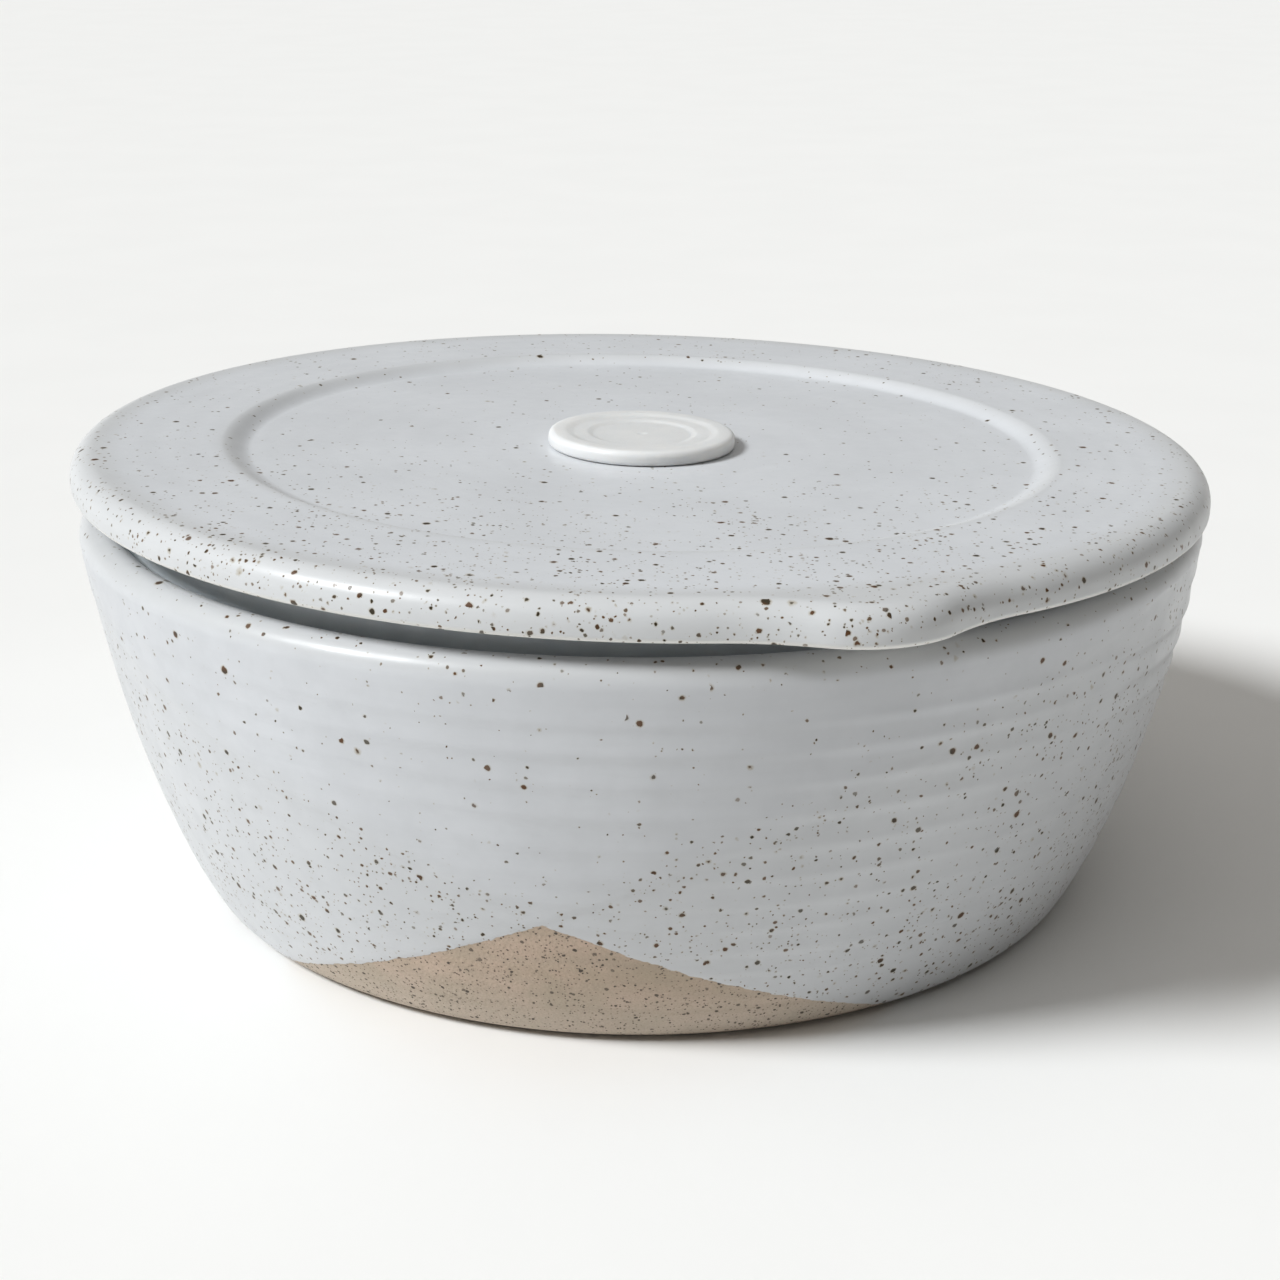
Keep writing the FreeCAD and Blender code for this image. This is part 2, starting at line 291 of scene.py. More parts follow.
def build_bowl():
    """The bowl, with throwing rings, two coats of glaze and a trimmed foot."""
    theta = around(540)
    everywhere = np.ones_like(theta)
    outline, wall_start, wall_end = bowl_outline()
    normals = outline_normals(outline)
    along = np.r_[0, np.cumsum(np.linalg.norm(np.diff(outline, axis=0), axis=1))][:, None]
    start, end = along[wall_start], along[wall_end]

    # Rings fade out toward the foot and the lip, and show again on the inner wall and floor.
    ringed_inside = s_curve(along, end + 22 * MM, end + 34 * MM) * (outline[:, :1] > 20 * MM)
    ringed = hump(along, start + 10 * MM, end - 9 * MM, 12 * MM, 7 * MM) + ringed_inside
    drift = wander(theta, along, 4, 11)
    turns = along / RING_PITCH + theta / TURN + 0.55 * drift
    ridge = np.cos(TURN * turns) + 0.2 * np.cos(2 * TURN * turns + 0.8)
    strength = 0.45 + 0.35 * np.cos(theta - 0.1) + 0.25 * wander(theta, along, 3, 5)
    rings = RING_HEIGHT * ridge * strength * ringed

    # The outline is that of the skin over two coats, so a missing coat lowers it.
    grid = turned(outline, theta)
    z = grid[..., 2]
    on_wall = (along > start - 1 * MM) & (along < end)
    wobble = 0.25 * MM * wander(theta, along, 5, 3)
    coats = coats_of_glaze(grid[..., 0], grid[..., 1], z, wobble)
    glaze = COAT_THICKNESS * np.where(on_wall, coats, 2)
    uneven = WALL_UNEVEN * wander(theta, along, 3, 21) * s_curve(z, 6 * MM, 30 * MM)
    uneven = uneven * (1 - s_curve(z, 60 * MM, 74 * MM))
    lift = rings + glaze + uneven * on_wall - 2 * COAT_THICKNESS
    lift = lift * s_curve(z + FOOT_ROUND, FOOT_ROUND, 2 * FOOT_ROUND)
    grid[..., 0] += lift * normals[:, :1] * np.cos(theta)
    grid[..., 1] += lift * normals[:, :1] * np.sin(theta)
    grid[..., 2] += lift * normals[:, 1:]

    bowl = smooth_mesh("stoneware_bowl", grid)
    mark(bowl, "ridge", ridge * ringed)
    mark(bowl, "outside", on_wall * everywhere)
    rim = hump(along, end - 1 * MM, end + 9 * MM, 4 * MM, 4 * MM)
    mark(bowl, "crest", rim * everywhere)
    return bowl


# --- Lid ------------------------------------------------------------------------------------


def lid_frame():
    """Where the lid lies: the lean comes from its vent's axis, and the tab is turned."""
    pull = next(j for j in frame["joints"] if j["name"] == "vent_plug_pull")
    axis = Vector(pull["axis"]).normalized()
    lean = Vector((0, 0, 1)).rotation_difference(axis).to_matrix().to_4x4()
    heading = math.hypot(axis.x, axis.y) / axis.z
    height = RIM_HEIGHT + RIM_RADIUS * heading + SEAT_GAP
    return Matrix.Translation((0, 0, height)) @ lean @ Matrix.Rotation(TAB_TURN, 4, "Z")


def lid_reach(theta, inset):
    """Radius of the lid's outline, moved in by inset, at each polar angle.

    The tab's round tip runs through a hollow flank into the lid's circle on either side.
    """
    from_tab = np.abs((theta + QUARTER + HALF) % TURN - HALF)
    tip_distance = TAB_REACH - TAB_TIP_RADIUS
    flank_distance = LID_RADIUS + TAB_FLANK_RADIUS
    between = TAB_TIP_RADIUS + TAB_FLANK_RADIUS
    cosine = tip_distance**2 + flank_distance**2 - between**2
    flank_angle = math.acos(cosine / (2 * tip_distance * flank_distance))
    tip_radius, flank_radius = TAB_TIP_RADIUS - inset, TAB_FLANK_RADIUS + inset
    share = tip_radius / between
    meet_x = share * flank_distance * math.sin(flank_angle)
    meet_y = tip_distance + share * (flank_distance * math.cos(flank_angle) - tip_distance)
    meet_angle = math.atan2(meet_x, meet_y)
    tip_side = tip_distance * np.sin(from_tab)
    tip = tip_distance * np.cos(from_tab)
    tip = tip + np.sqrt(np.maximum(tip_radius**2 - tip_side**2, 0))
    swing = from_tab - flank_angle
    flank_side = flank_distance * np.sin(swing)
    flank = flank_distance * np.cos(swing)
    flank = flank - np.sqrt(np.maximum(flank_radius**2 - flank_side**2, 0))
    reach = np.where(from_tab < meet_angle, tip, flank)
    return np.where(from_tab < flank_angle, reach, LID_RADIUS - inset)


def lid_top_outline():
    """From the vent hole over the recess to where the edge starts to round."""
    floor_height = LID_THICKNESS - RECESS_DEPTH
    section = Outline(VENT_HOLE, VENT_ROUND)
    section.line(VENT_HOLE, floor_height - VENT_ROUND, 1 * MM)
    section.arc(HALF, VENT_ROUND, QUARTER, 0.2 * MM)
    section.line(RECESS_FLOOR - 2 * MM, floor_height, 1.5 * MM)
    radii = np.arange(RECESS_FLOOR - 1.6 * MM, RECESS_TOP + 2.0 * MM, 0.25 * MM)
    climb = s_curve(radii, RECESS_FLOOR - RECESS_SOFTEN, RECESS_TOP + RECESS_SOFTEN)
    section.follow(np.column_stack([radii, floor_height + RECESS_DEPTH * climb]))
    section.line(LID_RADIUS - LID_TOP_ROUND, LID_THICKNESS, 1 * MM)
    return section.rows()


def lid_under_outline():
    """From the lower edge inward, down and round the flange, and on to the vent hole.

    With it comes the number of the row where the flange starts.
    """
    section = Outline(LID_RADIUS - LID_UNDER_ROUND, 0)
    section.line(FLANGE_NECK + FLANGE_ROOT, 0, 2 * MM)
    flange_start = len(section.rows())
    section.arc(-QUARTER, -FLANGE_ROOT, -HALF, 0.3 * MM)
    section.line(FLANGE_NECK, -NECK_DEPTH, 1.5 * MM)
    section.line(FLANGE_LIP, -NECK_DEPTH, 0.4 * MM)
    section.line(FLANGE_LIP, -FLANGE_DEPTH + FLANGE_ROUND, 0.5 * MM)
    section.arc(0, FLANGE_ROUND, -QUARTER, 0.2 * MM)
    section.line(FLANGE_INNER + FLANGE_ROUND, -FLANGE_DEPTH, 1.5 * MM)
    section.arc(-QUARTER, FLANGE_ROUND, -HALF, 0.2 * MM)
    section.line(FLANGE_INNER, -FLANGE_ROOT, 1.5 * MM)
    section.arc(-HALF, -FLANGE_ROOT, -QUARTER, 0.3 * MM)
    section.line(VENT_HOLE + VENT_ROUND, 0, 6 * MM)
    section.arc(-QUARTER, VENT_ROUND, -HALF, 0.2 * MM)
    return section.rows(), flange_start


def drawn_out(outline, theta, share, inset):
    """The grid of a turned outline whose rows are drawn out, each by its share, to the tab."""
    grid = turned(outline, theta)
    stretch = lid_reach(theta, inset) - (LID_RADIUS - inset)
    radius = outline[:, :1] + share[:, None] * stretch
    grid[..., 0], grid[..., 1] = radius * np.cos(theta), radius * np.sin(theta)
    return grid


def lid_edge(theta):
    """The grid of the lid's edge, rolled over at the top and eased at the bottom."""
    angles = np.linspace(0, QUARTER, 17)[1:]
    few = angles[::2]
    insets = LID_TOP_ROUND * (1 - np.sin(angles))
    heights = LID_THICKNESS - LID_TOP_ROUND * (1 - np.cos(angles))
    insets = np.r_[insets, 0, LID_UNDER_ROUND * (1 - np.cos(few))]
    heights = np.r_[heights, LID_UNDER_ROUND, LID_UNDER_ROUND * (1 - np.sin(few))]
    rows = []
    for inset, height in zip(insets, heights):
        reach = lid_reach(theta, inset)
        rows.append([reach * np.cos(theta), reach * np.sin(theta), np.full_like(theta, height)])
    return np.moveaxis(np.array(rows), 1, -1)


def build_lid(placement):
    """The lid: a thick disc with a shallow recess, a rounded edge, a lift tab and a flange."""
    theta = around(900)
    over = lid_top_outline()
    share = s_curve(over[:, 0], TAB_SPREAD_FROM, LID_RADIUS - LID_TOP_ROUND)
    top = drawn_out(over, theta, share, LID_TOP_ROUND)
    under, flange_start = lid_under_outline()
    share = s_curve(under[:, 0], FLANGE_NECK + 1.5 * MM, LID_RADIUS - LID_UNDER_ROUND)
    share[flange_start:] = 0
    bottom = drawn_out(under, theta, share, LID_UNDER_ROUND)
    grid = np.concatenate([top, lid_edge(theta), bottom])

    # Faint ripples and a slight unevenness of the top, which lies a little lower to allow them.
    radius = np.hypot(grid[..., 0], grid[..., 1])
    drift = 0.4 * wander(theta, radius, 4, 8)
    ripple = np.cos(TURN * (radius / LID_RIPPLE_PITCH + theta / TURN + drift))
    sway = wander(theta, radius * 0.4, 3, 17) * s_curve(radius, 30 * MM, 60 * MM)
    lift = LID_RIPPLE * ripple + LID_UNEVEN * sway
    grid[..., 2] += np.where(grid[..., 2] > 3 * MM, lift - LID_UNEVEN, 0)

    # Worn glaze and painted shade on the edge, a painted highlight on the lower edge, speck
    # crowding.
    height = grid[..., 2]
    # The rounded edge: worn glaze and painted shade.
    band = s_curve(radius, 100 * MM, 106 * MM) * (height > -1 * MM)
    crest = hump(radius, RECESS_FLOOR, RECESS_TOP, RECESS_TOP - RECESS_FLOOR, 3 * MM)
    # A painted highlight along the lid's lower edge.
    hem_highlight = hump(height, -0.3 * MM, 0.5 * MM, 0.4 * MM, 0.6 * MM) * (radius > 108 * MM)
    in_recess = 1 - s_curve(radius, RECESS_FLOOR, RECESS_TOP)

    grid = placed(grid, placement)
    y = grid[..., 1]
    crowd = 0.92 - 0.67 * s_curve(y, -105 * MM, 0) + 0.3 * band
    crowd = crowd - 0.12 * s_curve(y, -60 * MM, 0) * in_recess
    lid = smooth_mesh("stoneware_lid", grid, closed_rows=True)
    mark(lid, "ridge", 0.5 * ripple)
    mark(lid, "crest", np.maximum(band, 0.6 * crest))
    mark(lid, "hem_highlight", hem_highlight)
    mark(lid, "crowd", crowd)
    return lid


# --- Seal ring and vent plug ----------------------------------------------------------------


def build_seal(placement):
    """The seal ring round the lid's flange: a smooth band that ends in a rounded bead."""
    inside, low = FLANGE_NECK + SEAL_EASE, -SEAL_DEPTH
    section = Outline(inside, low)
    section.line(inside, SEAL_TOP, 2 * MM)
    section.line(SEAL_BAND - SEAL_ROUND, SEAL_TOP, 0.4 * MM)
    section.arc(QUARTER, SEAL_ROUND, 0, 0.1 * MM)
    section.line(SEAL_BAND, low + BEAD_HIGH + SEAL_ROUND, 1 * MM)
    swell = np.linspace(0, HALF, 13)[1:-1]
    bulge = SEAL_BAND + (SEAL_BEAD - SEAL_BAND) * np.sin(swell)
    drop = (BEAD_HIGH - BEAD_LOW) * swell / HALF
    section.follow(np.column_stack([bulge, low + BEAD_HIGH - drop]))
    section.follow([[SEAL_BAND - 0.4 * MM, low]])
    grid = turned(section.rows()[::-1], around(360))
    return smooth_mesh("seal_ring", placed(grid, placement), closed_rows=True)


def build_plug(placement):
    """The vent plug: a soft stepped cap on a slotted stem with a barb."""
    theta = around(240)
    axis_gap = 0.05 * MM
    radii = np.r_[axis_gap, np.arange(0.3, 17.2, 0.3) * MM]
    top = np.full_like(radii, CAP_HEIGHT)
    top -= CAP_STEP * (1 - s_curve(radii, RING_INNER - 1.1 * MM, RING_INNER + 0.9 * MM))
    top -= CAP_STEP * (1 - s_curve(radii, DISH_RADIUS - 0.8 * MM, DISH_RADIUS + 0.7 * MM))
    top -= DIMPLE_DEPTH * (1 - s_curve(radii, 0.3 * MM, 1.0 * MM))
    cap = np.column_stack([radii, top])

    plate = LID_THICKNESS - RECESS_DEPTH + PLUG_TRAVEL
    section = Outline(CAP_RADIUS - CAP_ROUND, CAP_HEIGHT)
    section.arc(QUARTER, CAP_ROUND, 0, 0.15 * MM)
    section.line(CAP_RADIUS, CAP_UNDER_ROUND + CAP_LIFT, 0.3 * MM)
    section.arc(0, CAP_UNDER_ROUND, -QUARTER, 0.15 * MM)
    section.line(STEM_RADIUS, CAP_LIFT, 1 * MM)
    section.line(STEM_RADIUS, -plate, 0.6 * MM)
    section.line(BARB_RADIUS, -plate, 0.4 * MM)
    section.line(BARB_RADIUS, -plate - BARB_EDGE, 0.4 * MM)
    section.line(PLUG_TIP, -plate - BARB_HEIGHT, 0.5 * MM)
    section.line(axis_gap, -plate - BARB_HEIGHT, 1 * MM)
    outline = np.vstack([cap, section.rows()])[::-1]

    grid = turned(outline, theta)
    slot_floor = (STEM_RADIUS - SLOT_DEPTH) / np.maximum(np.cos(theta), 0.1)
    x, y, z = grid[..., 0], grid[..., 1], grid[..., 2]
    in_slot = (np.abs(y) < SLOT_WIDTH / 2) & (x > 0) & (z < 0)
    shrink = np.where(in_slot, np.minimum(1, slot_floor / outline[:, :1]), 1)
    grid[..., :2] *= shrink[..., None]
    grid[..., 2] += LID_THICKNESS - RECESS_DEPTH
    return smooth_mesh("vent_plug_silicone", placed(grid, placement))


# --- Node trees -----------------------------------------------------------------------------


class Nodes:
    """A node tree, with one short call for each kind of node."""

    def __init__(self, tree, coordinates):
        self.tree = tree
        self.place = tree.nodes.new("ShaderNodeTexCoord").outputs[coordinates]

    def plug(self, socket, value):
        """Feeds a socket from another node's output, or with a plain value."""
        if isinstance(value, bpy.types.NodeSocket):
            self.tree.links.new(value, socket)
        else:
            socket.default_value = value

    def dot(self, a, b):
        """How far a vector reaches along another."""
        return self.vector("DOT_PRODUCT", a, b)

    def vector(self, operation, a, b):
        """One operation on two vectors, or SCALE on a vector and a number."""
        node = self.tree.nodes.new("ShaderNodeVectorMath")
        node.operation = operation
        self.plug(node.inputs[0], a)
        self.plug(node.inputs["Scale" if operation == "SCALE" else 1], b)
        return node.outputs["Value" if operation == "DOT_PRODUCT" else "Vector"]

    def math(self, operation, a, b):
        """One operation on two numbers."""
        node = self.tree.nodes.new("ShaderNodeMath")
        node.operation = operation
        self.plug(node.inputs[0], a)
        self.plug(node.inputs[1], b)
        return node.outputs[0]

    def blend(self, share, a, b):
        """Colour a where share is 0 and colour b where it is 1."""
        node = self.tree.nodes.new("ShaderNodeMix")
        node.data_type = "RGBA"
        self.plug(node.inputs["Factor"], share)
        self.plug(node.inputs[6], [*a, 1] if isinstance(a, tuple) else a)
        self.plug(node.inputs[7], [*b, 1] if isinstance(b, tuple) else b)
        return node.outputs[2]

    def span(self, value, low, high, to_low=0.0, to_high=1.0, smooth=True):
        """Maps a value from one span to another, by default softly at both ends."""
        node = self.tree.nodes.new("ShaderNodeMapRange")
        node.interpolation_type = "SMOOTHSTEP" if smooth else "LINEAR"
        for index, number in enumerate((value, low, high, to_low, to_high)):
            self.plug(node.inputs[index], number)
        return node.outputs["Result"]


class Paint(Nodes):
    """A material. Its places are in millimetres."""

    def __init__(self, name):
        self.material = bpy.data.materials.new(name)
        self.material.use_nodes = True
        super().__init__(self.material.node_tree, "Object")
        self.shader = self.tree.nodes["Principled BSDF"]
        self.place = self.vector("SCALE", self.place, 1 / MM)

    def noise(self, size, detail=2.0, roughness=0.5, place=None, output="Fac"):
        """Cloudy noise whose lumps are about size across."""
        node = self.tree.nodes.new("ShaderNodeTexNoise")
        self.plug(node.inputs["Vector"], place or self.place)
        node.inputs["Scale"].default_value = 1 / size
        node.inputs["Detail"].default_value = detail
        node.inputs["Roughness"].default_value = roughness
        return node.outputs[output]

    def cells(self, place, size):
        """Distance to the nearest of some scattered points, and three dice for that point."""
        node = self.tree.nodes.new("ShaderNodeTexVoronoi")
        self.plug(node.inputs["Vector"], place)
        node.inputs["Scale"].default_value = 1 / size
        dice = self.tree.nodes.new("ShaderNodeSeparateColor")
        self.plug(dice.inputs[0], node.outputs["Color"])
        return self.math("MULTIPLY", node.outputs["Distance"], size), dice.outputs

    def stored(self, name):
        """A number that the mesh holds for each vertex."""
        node = self.tree.nodes.new("ShaderNodeAttribute")
        node.attribute_name = name
        return node.outputs["Fac"]

    def bump(self, height, distance):
        """A surface normal tilted by fine relief that is distance deep."""
        node = self.tree.nodes.new("ShaderNodeBump")
        node.inputs["Distance"].default_value = distance
        self.plug(node.inputs["Height"], height)
        return node.outputs["Normal"]

    def feed(self, **values):
        """Feeds the shader's sockets, whose names are given with _ for each space."""
        for name, value in values.items():
            self.plug(self.shader.inputs[name.replace("_", " ")], value)

    def dress(self, piece):
        """Puts the material on a piece."""
        piece.data.materials.append(self.material)


# --- Glaze, clay and silicone ---------------------------------------------------------------

# Colours, in linear light. The lid's white is painted lighter than the bowl's, as light on its
# top.
BOWL_WHITE = (0.618, 0.632, 0.655)
LID_WHITE_PAINTED_LIGHTER = (0.712, 0.730, 0.757)
THIN_GLAZE = (0.530, 0.535, 0.515)
# Glaze worn thin on crests, and painted shade on the lid's rounded edge.
WORN_AND_SHADED_GLAZE = (0.530, 0.532, 0.522)
# A painted highlight: the light line along the lid's lower edge.
HEM_PAINTED_HIGHLIGHT = (0.800, 0.790, 0.760)
IRON_STAIN = (0.29, 0.21, 0.07)
IRON_BLACK = (0.030, 0.021, 0.008)
IRON_BROWN = (0.090, 0.036, 0.011)
CLAY_TAN, CLAY_PINK = (0.450, 0.366, 0.275), (0.545, 0.418, 0.328)
CLAY_PALE = (0.560, 0.510, 0.440)
CLAY_STREAK = (0.410, 0.335, 0.265)
CLAY_SAND = (0.350, 0.285, 0.225)
CLAY_STAIN = (0.25, 0.20, 0.15)
CLAY_IRON = (0.055, 0.045, 0.038)
# The seal is the plug's milky silicone painted darker and bluer: painted shade of the gap under
# the lid.
SEAL_SHADED_TINTS = (0.60, 0.64, 0.66), (0.66, 0.70, 0.715)
PLUG_TINTS = (0.74, 0.745, 0.74), (0.78, 0.78, 0.77)
FLOOR_TINTS = (0.875, 0.870, 0.855), (0.885, 0.880, 0.865)
GLAZE_RELIEF = 0.04 * MM
GLAZE_GLOSS = 0.35
SILICONE_RELIEF = 0.03 * MM

# Each kind of speck: the spacing and largest radius in millimetres, its share, its least depth.
GLAZE_SPECKS = (
    (0.85, 0.20, 0.46, 0.10),
    (1.20, 0.37, 0.34, 0.50),
    (2.20, 0.57, 0.36, 0.80),
    (4.60, 0.78, 0.25, 1.00),
)
CLAY_SPECKS = (
    (0.72, 0.23, 0.95, 0.35),
    (1.60, 0.41, 0.90, 0.60),
)


def specks(paint, place, size, radius, share, least_depth):
    """Iron specks: a dark core and a wider stained halo, in random sizes and depths."""
    distance, dice = paint.cells(place, size)
    here = paint.math("LESS_THAN", dice[0], share)
    grain = paint.span(dice[1], 0, 1, 0.45 * radius, radius, smooth=False)
    solid = paint.math("MULTIPLY", grain, 0.82)
    core = paint.span(distance, solid, paint.math("MULTIPLY", grain, 1.06), 1, 0)
    halo = paint.span(distance, solid, paint.math("MULTIPLY", grain, 1.5), 1, 0)
    depth = paint.span(dice[2], 0, 0.75, least_depth, 1, smooth=False)
    stain = paint.span(dice[2], 0, 0.6, 0.45, 1, smooth=False)
    core = paint.math("MULTIPLY", core, paint.math("MULTIPLY", here, depth))
    return core, paint.math("MULTIPLY", halo, paint.math("MULTIPLY", here, stain))


def scatter(paint, place, kinds, crowd):
    """Every kind of speck at once, each as common as its share times crowd."""
    core, halo = 0.0, 0.0
    for size, radius, share, least_depth in kinds:
        common = paint.math("MULTIPLY", crowd, share)
        found = specks(paint, place, size, radius, common, least_depth)
        core = paint.math("MAXIMUM", core, found[0])
        halo = paint.math("MAXIMUM", halo, found[1])
    return core, halo


def dip_height(paint, dip, waver):
    """Height in millimetres above the wavering edge of a dip."""
    rise_x, rise_y, height = dip
    above = paint.dot(paint.place, (-rise_x, -rise_y, 1))
    return paint.math("ADD", paint.math("SUBTRACT", above, height / MM), waver)


def glazed_skin(paint, grainy, streak, thin, hem_highlight, crowd, white_tint):
    """Colour, roughness and relief of the white glaze; iron shows through where it is thin."""
    mottle = paint.noise(5.5, 3, 0.6)
    core, halo = scatter(paint, grainy, GLAZE_SPECKS, crowd)

    cloud = paint.span(paint.noise(26, 4, 0.55), 0.3, 0.7)
    dull = tuple(0.93 * part for part in white_tint)
    grey = tuple(0.87 * part for part in white_tint)
    white = paint.blend(cloud, dull, white_tint)
    white = paint.blend(paint.span(mottle, 0.35, 0.75, 0, 0.35), white, grey)
    white = paint.blend(paint.span(streak, 0.45, 0.8, 0, 0.3), white, grey)
    white = paint.blend(paint.span(paint.stored("ridge"), 0.2, 1.3, 0, 0.10), white, grey)
    white = paint.blend(paint.math("MULTIPLY", thin, 0.16), white, THIN_GLAZE)
    # Greyer on crests: glaze worn thin, and painted shade on the lid's rounded edge.
    worn_and_shaded = paint.math("MULTIPLY", paint.stored("crest"), 0.50)
    white = paint.blend(worn_and_shaded, white, WORN_AND_SHADED_GLAZE)
    # A painted highlight along the lid's lower edge.
    white = paint.blend(hem_highlight, white, HEM_PAINTED_HIGHLIGHT)
    stained = paint.blend(paint.math("MULTIPLY", halo, 0.55), white, IRON_STAIN)
    iron = paint.blend(paint.span(paint.noise(3.1, 1), 0.4, 0.6), IRON_BLACK, IRON_BROWN)

    shine = paint.span(mottle, 0.3, 0.7, 0.28, 0.38)
    relief = paint.math("MULTIPLY", paint.noise(1.5, 3, 0.55), 0.5)
    relief = paint.math("ADD", relief, paint.math("MULTIPLY", core, 0.35))
    relief = paint.math("ADD", relief, paint.math("MULTIPLY", streak, 0.4))
    return paint.blend(core, stained, iron), shine, relief


def clay_skin(paint, grainy, streak, height):
    """Colour and relief of the bare sandy clay at the foot, paler low down."""
    cloud = paint.span(paint.noise(9, 4, 0.6), 0.3, 0.7)
    clay = paint.blend(cloud, CLAY_TAN, CLAY_PINK)
    clay = paint.blend(paint.span(height, 1, 17, 0.55, 0), clay, CLAY_PALE)
    streaked = paint.math("MULTIPLY", paint.span(streak, 0.45, 0.7), 0.35)
    clay = paint.blend(streaked, clay, CLAY_STREAK)
    sandy = paint.span(paint.noise(0.35), 0.35, 0.75, 0, 0.35)
    clay = paint.blend(sandy, clay, CLAY_SAND)
    core, halo = scatter(paint, grainy, CLAY_SPECKS, 1.0)
    clay = paint.blend(paint.math("MULTIPLY", halo, 0.25), clay, CLAY_STAIN)
    clay = paint.blend(paint.math("MULTIPLY", core, 0.9), clay, CLAY_IRON)
    grit = paint.span(paint.cells(paint.place, 0.75)[0], 0.15, 0.5)
    relief = paint.math("ADD", grit, paint.noise(0.4))
    return clay, paint.math("MULTIPLY", relief, 0.8)


def stoneware(name):
    """Speckled stoneware and the noises that its glaze and its clay share."""
    paint = Paint(name)
    warp = paint.vector("SCALE", paint.noise(0.9, output="Color"), 0.6)
    grainy = paint.vector("ADD", paint.place, warp)
    squashed = paint.vector("MULTIPLY", paint.place, (0.09, 0.09, 1.0))
    streak = paint.noise(2.2, 3, 0.55, place=squashed)
    crowd = paint.span(paint.noise(11), 0.35, 0.7, 0.55, 1.25)
    return paint, grainy, streak, crowd


def bowl_glaze():
    """Two dips of glaze: one coat shows more iron than two, and clay is bare below both."""
    paint, grainy, streak, crowd = stoneware("bowl glaze")
    waver = paint.span(paint.noise(2.4, 3), 0.3, 0.7, -0.3, 0.3, smooth=False)
    first = dip_height(paint, FIRST_DIP, waver)
    second = dip_height(paint, SECOND_DIP, waver)
    inside = paint.math("SUBTRACT", 1.0, paint.stored("outside"))
    both = paint.math("MINIMUM", first, second)
    thick = paint.math("MAXIMUM", paint.span(both, -1.5, 7), inside)
    thin = paint.math("SUBTRACT", 1.0, thick)

    height = paint.dot(paint.place, (0, 0, 1))
    crowd = paint.math("MULTIPLY", crowd, paint.span(height, 12, 55, 1.08, 0.62))
    crowd = paint.math("MULTIPLY", crowd, paint.span(thin, 0, 1, 0.25, 1.0, smooth=False))
    crowd = paint.math("ADD", crowd, paint.math("MULTIPLY", paint.stored("crest"), 0.2))
    white, shine, relief = glazed_skin(paint, grainy, streak, thin, 0.0, crowd, BOWL_WHITE)
    clay, grit = clay_skin(paint, grainy, streak, height)

    dipped = paint.span(paint.math("MAXIMUM", first, second), -0.12, 0.12)
    dipped = paint.math("MAXIMUM", dipped, inside)
    wiped = paint.span(paint.math("ADD", height, waver), 0.25, 0.75)
    glazed = paint.math("MULTIPLY", dipped, wiped)
    shine = paint.span(glazed, 0, 1, 0.86, shine, smooth=False)
    relief = paint.span(glazed, 0, 1, grit, paint.math("ADD", relief, 1.6), smooth=False)
    paint.feed(
        Base_Color=paint.blend(glazed, clay, white),
        Roughness=shine,
        Normal=paint.bump(relief, GLAZE_RELIEF),
        Specular_IOR_Level=GLAZE_GLOSS,
    )
    return paint


def lid_glaze():
    """The lid's single coat, most speckled toward the tab's side and along its edge."""
    paint, grainy, streak, crowd = stoneware("lid glaze")
    crowd = paint.math("MULTIPLY", crowd, paint.stored("crowd"))
    hem_highlight = paint.stored("hem_highlight")
    # The lid's white is painted lighter, as light falling on its top.
    white, shine, relief = glazed_skin(paint, grainy, streak, 0.4, hem_highlight, crowd, LID_WHITE_PAINTED_LIGHTER)
    paint.feed(
        Base_Color=white,
        Roughness=shine,
        Normal=paint.bump(relief, GLAZE_RELIEF),
        Specular_IOR_Level=GLAZE_GLOSS,
    )
    return paint


def silicone(name, tint, milky):
    """Milky silicone: faint clouds, a satin skin and light that sinks in a little."""
    paint = Paint(name)
    cloud = paint.noise(6, 3)
    fine = paint.noise(0.5)
    paint.feed(
        Base_Color=paint.blend(paint.span(cloud, 0.3, 0.7), tint, milky),
        Roughness=paint.span(fine, 0.3, 0.7, 0.36, 0.46),
        Normal=paint.bump(paint.math("ADD", fine, cloud), SILICONE_RELIEF),
        Subsurface_Weight=0.8,
        Subsurface_Radius=(4.6 * MM, 4.3 * MM, 4.0 * MM),
        Subsurface_Scale=1.0,
    )
    return paint


# --- Pieces ---------------------------------------------------------------------------------

placement = lid_frame()

bowl = build_bowl()
bowl_glaze().dress(bowl)
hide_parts("bowl")
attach(bowl, "bowl")

lid = build_lid(placement)
lid_glaze().dress(lid)
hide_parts("lid")
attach(lid, "lid")

seal = build_seal(placement)
# Painted shade: the seal's silicone is darker and bluer than the plug's.
silicone("seal silicone", *SEAL_SHADED_TINTS).dress(seal)
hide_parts("lid_gasket")
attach(seal, "lid")

plug = build_plug(placement)
silicone("plug silicone", *PLUG_TINTS).dress(plug)
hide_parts("vent_plug")
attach(plug, "vent_plug")


# --- Stage ----------------------------------------------------------------------------------

FLOOR_DROP = 0.2 * MM
FLOOR_RADIUS = 6.0
DIM_ROOM = (0.080, 0.077, 0.071)
BACKDROP = (0.740, 0.735, 0.720)

# The camera's distance and rise are taken from the middle of the bowl's rim. Its shift is one
# pixel of the photograph.
CAMERA_DISTANCE = 0.460
CAMERA_RISE = math.radians(15.04)
CAMERA_PITCH = math.radians(18.93)
CAMERA_LENS = 64.97
CAMERA_SENSOR = 36
CAMERA_SHIFT = -1 / 1280


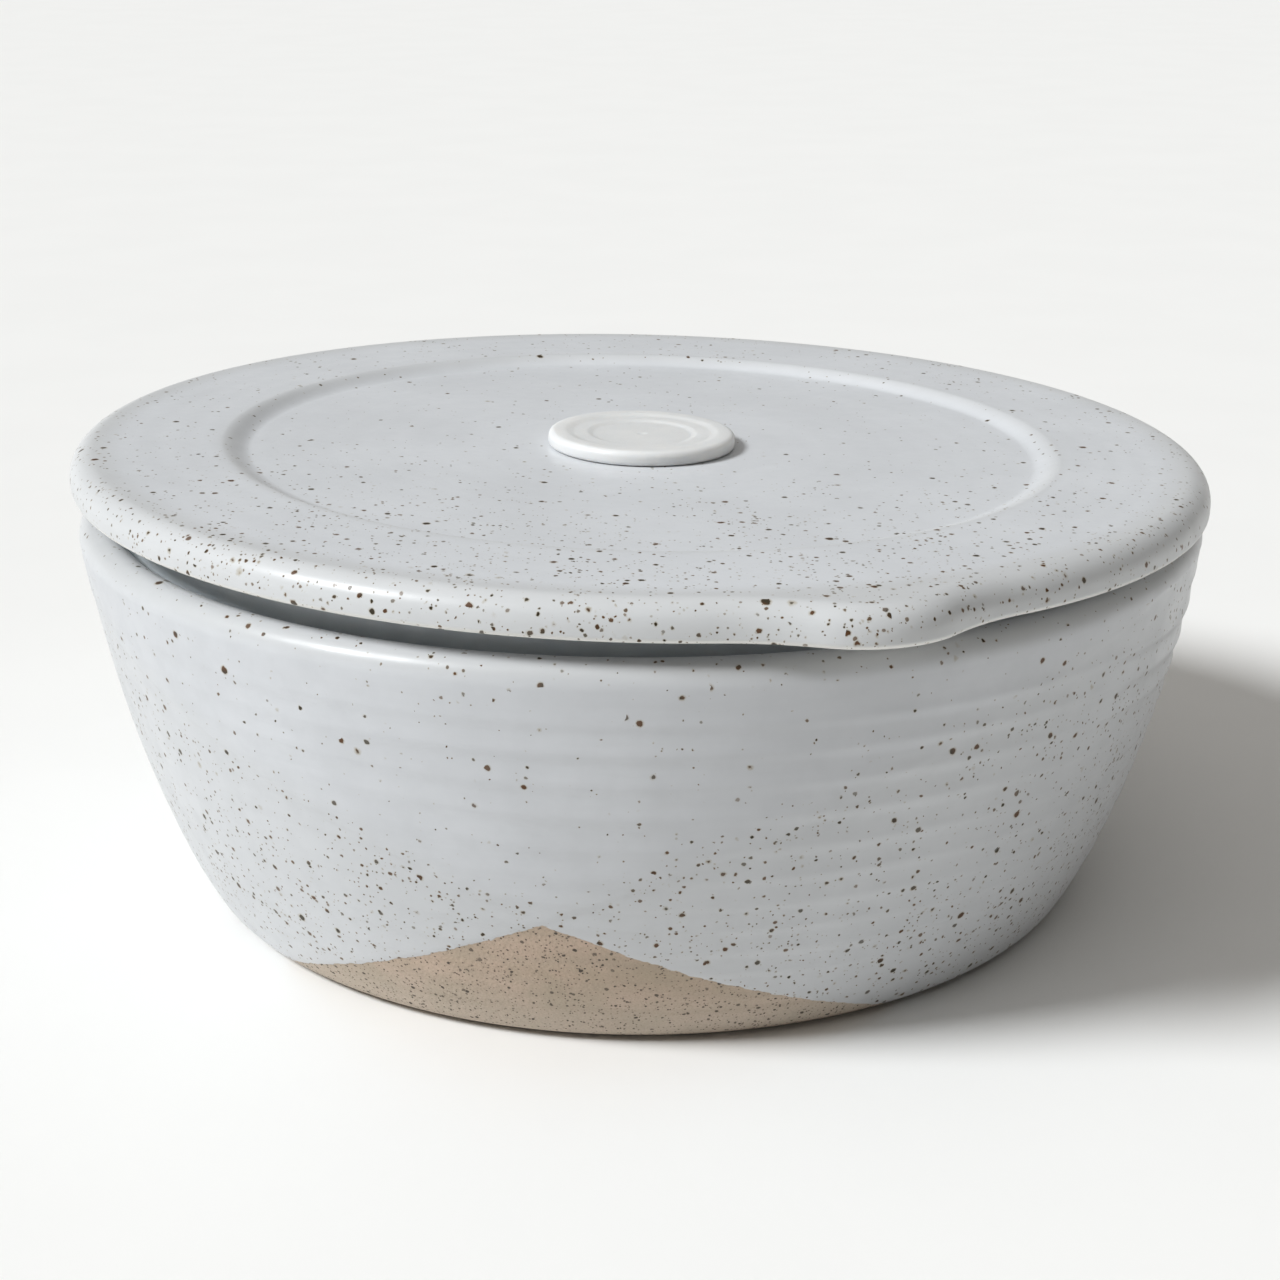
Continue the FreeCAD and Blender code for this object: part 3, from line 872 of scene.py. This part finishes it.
def build_floor():
    """A plain pale floor that runs out past the edge of the picture."""
    outline = np.array([[1 * MM, -FLOOR_DROP], [0.5, -FLOOR_DROP], [FLOOR_RADIUS, -FLOOR_DROP]])
    floor = smooth_mesh("studio_floor", turned(outline, around(96)))
    paint = Paint("pale floor")
    cloud = paint.span(paint.noise(60, 3), 0.3, 0.7)
    tone = paint.blend(cloud, *FLOOR_TINTS)
    paint.feed(Base_Color=tone, Roughness=0.85, Specular_IOR_Level=0.1)
    paint.dress(floor)


def add_light(name, toward, spread, strength, tint):
    """A large distant softbox: it lies toward a direction and is spread degrees across."""
    data = bpy.data.lights.new(name, "SUN")
    data.angle = math.radians(spread)
    data.energy = strength
    data.color = tint
    lamp = bpy.data.objects.new(name, data)
    lamp.rotation_euler = Vector(toward).to_track_quat("Z", "Y").to_euler()
    bpy.context.scene.collection.objects.link(lamp)


def add_surroundings():
    """A dim room with a pale backdrop low round the back and left, fading out upward."""
    world = bpy.data.worlds.new("studio")
    world.use_nodes = True
    nodes = Nodes(world.node_tree, "Generated")
    low = nodes.span(nodes.dot(nodes.place, (0, 0, 1)), 0.04, 0.25, 1, 0)
    behind = nodes.span(nodes.dot(nodes.place, (-0.7, 0.7, 0)), -0.8, 0.3, 0.25, 1)
    tone = nodes.blend(nodes.math("MULTIPLY", low, behind), DIM_ROOM, BACKDROP)
    nodes.plug(world.node_tree.nodes["Background"].inputs["Color"], tone)
    bpy.context.scene.world = world


def add_camera():
    """The camera stands in front, a little above the lid, and looks down on it."""
    data = bpy.data.cameras.new("camera")
    data.sensor_width = CAMERA_SENSOR
    data.lens = CAMERA_LENS
    data.shift_x = CAMERA_SHIFT
    data.clip_start = 0.01
    camera = bpy.data.objects.new("camera", data)
    back, up = math.cos(CAMERA_RISE), math.sin(CAMERA_RISE)
    camera.location = (0, -CAMERA_DISTANCE * back, RIM_HEIGHT + CAMERA_DISTANCE * up)
    camera.rotation_euler = (QUARTER - CAMERA_PITCH, 0, 0)
    bpy.context.scene.collection.objects.link(camera)
    bpy.context.scene.camera = camera


build_floor()
add_light("key", (-0.68, -0.26, 0.685), spread=17, strength=3.35, tint=(0.955, 0.98, 1.0))
add_light("ceiling", (0, 0, 1), spread=80, strength=0.75, tint=(1.0, 0.975, 0.94))
add_surroundings()
bpy.context.scene.view_settings.view_transform = "Standard"
add_camera()
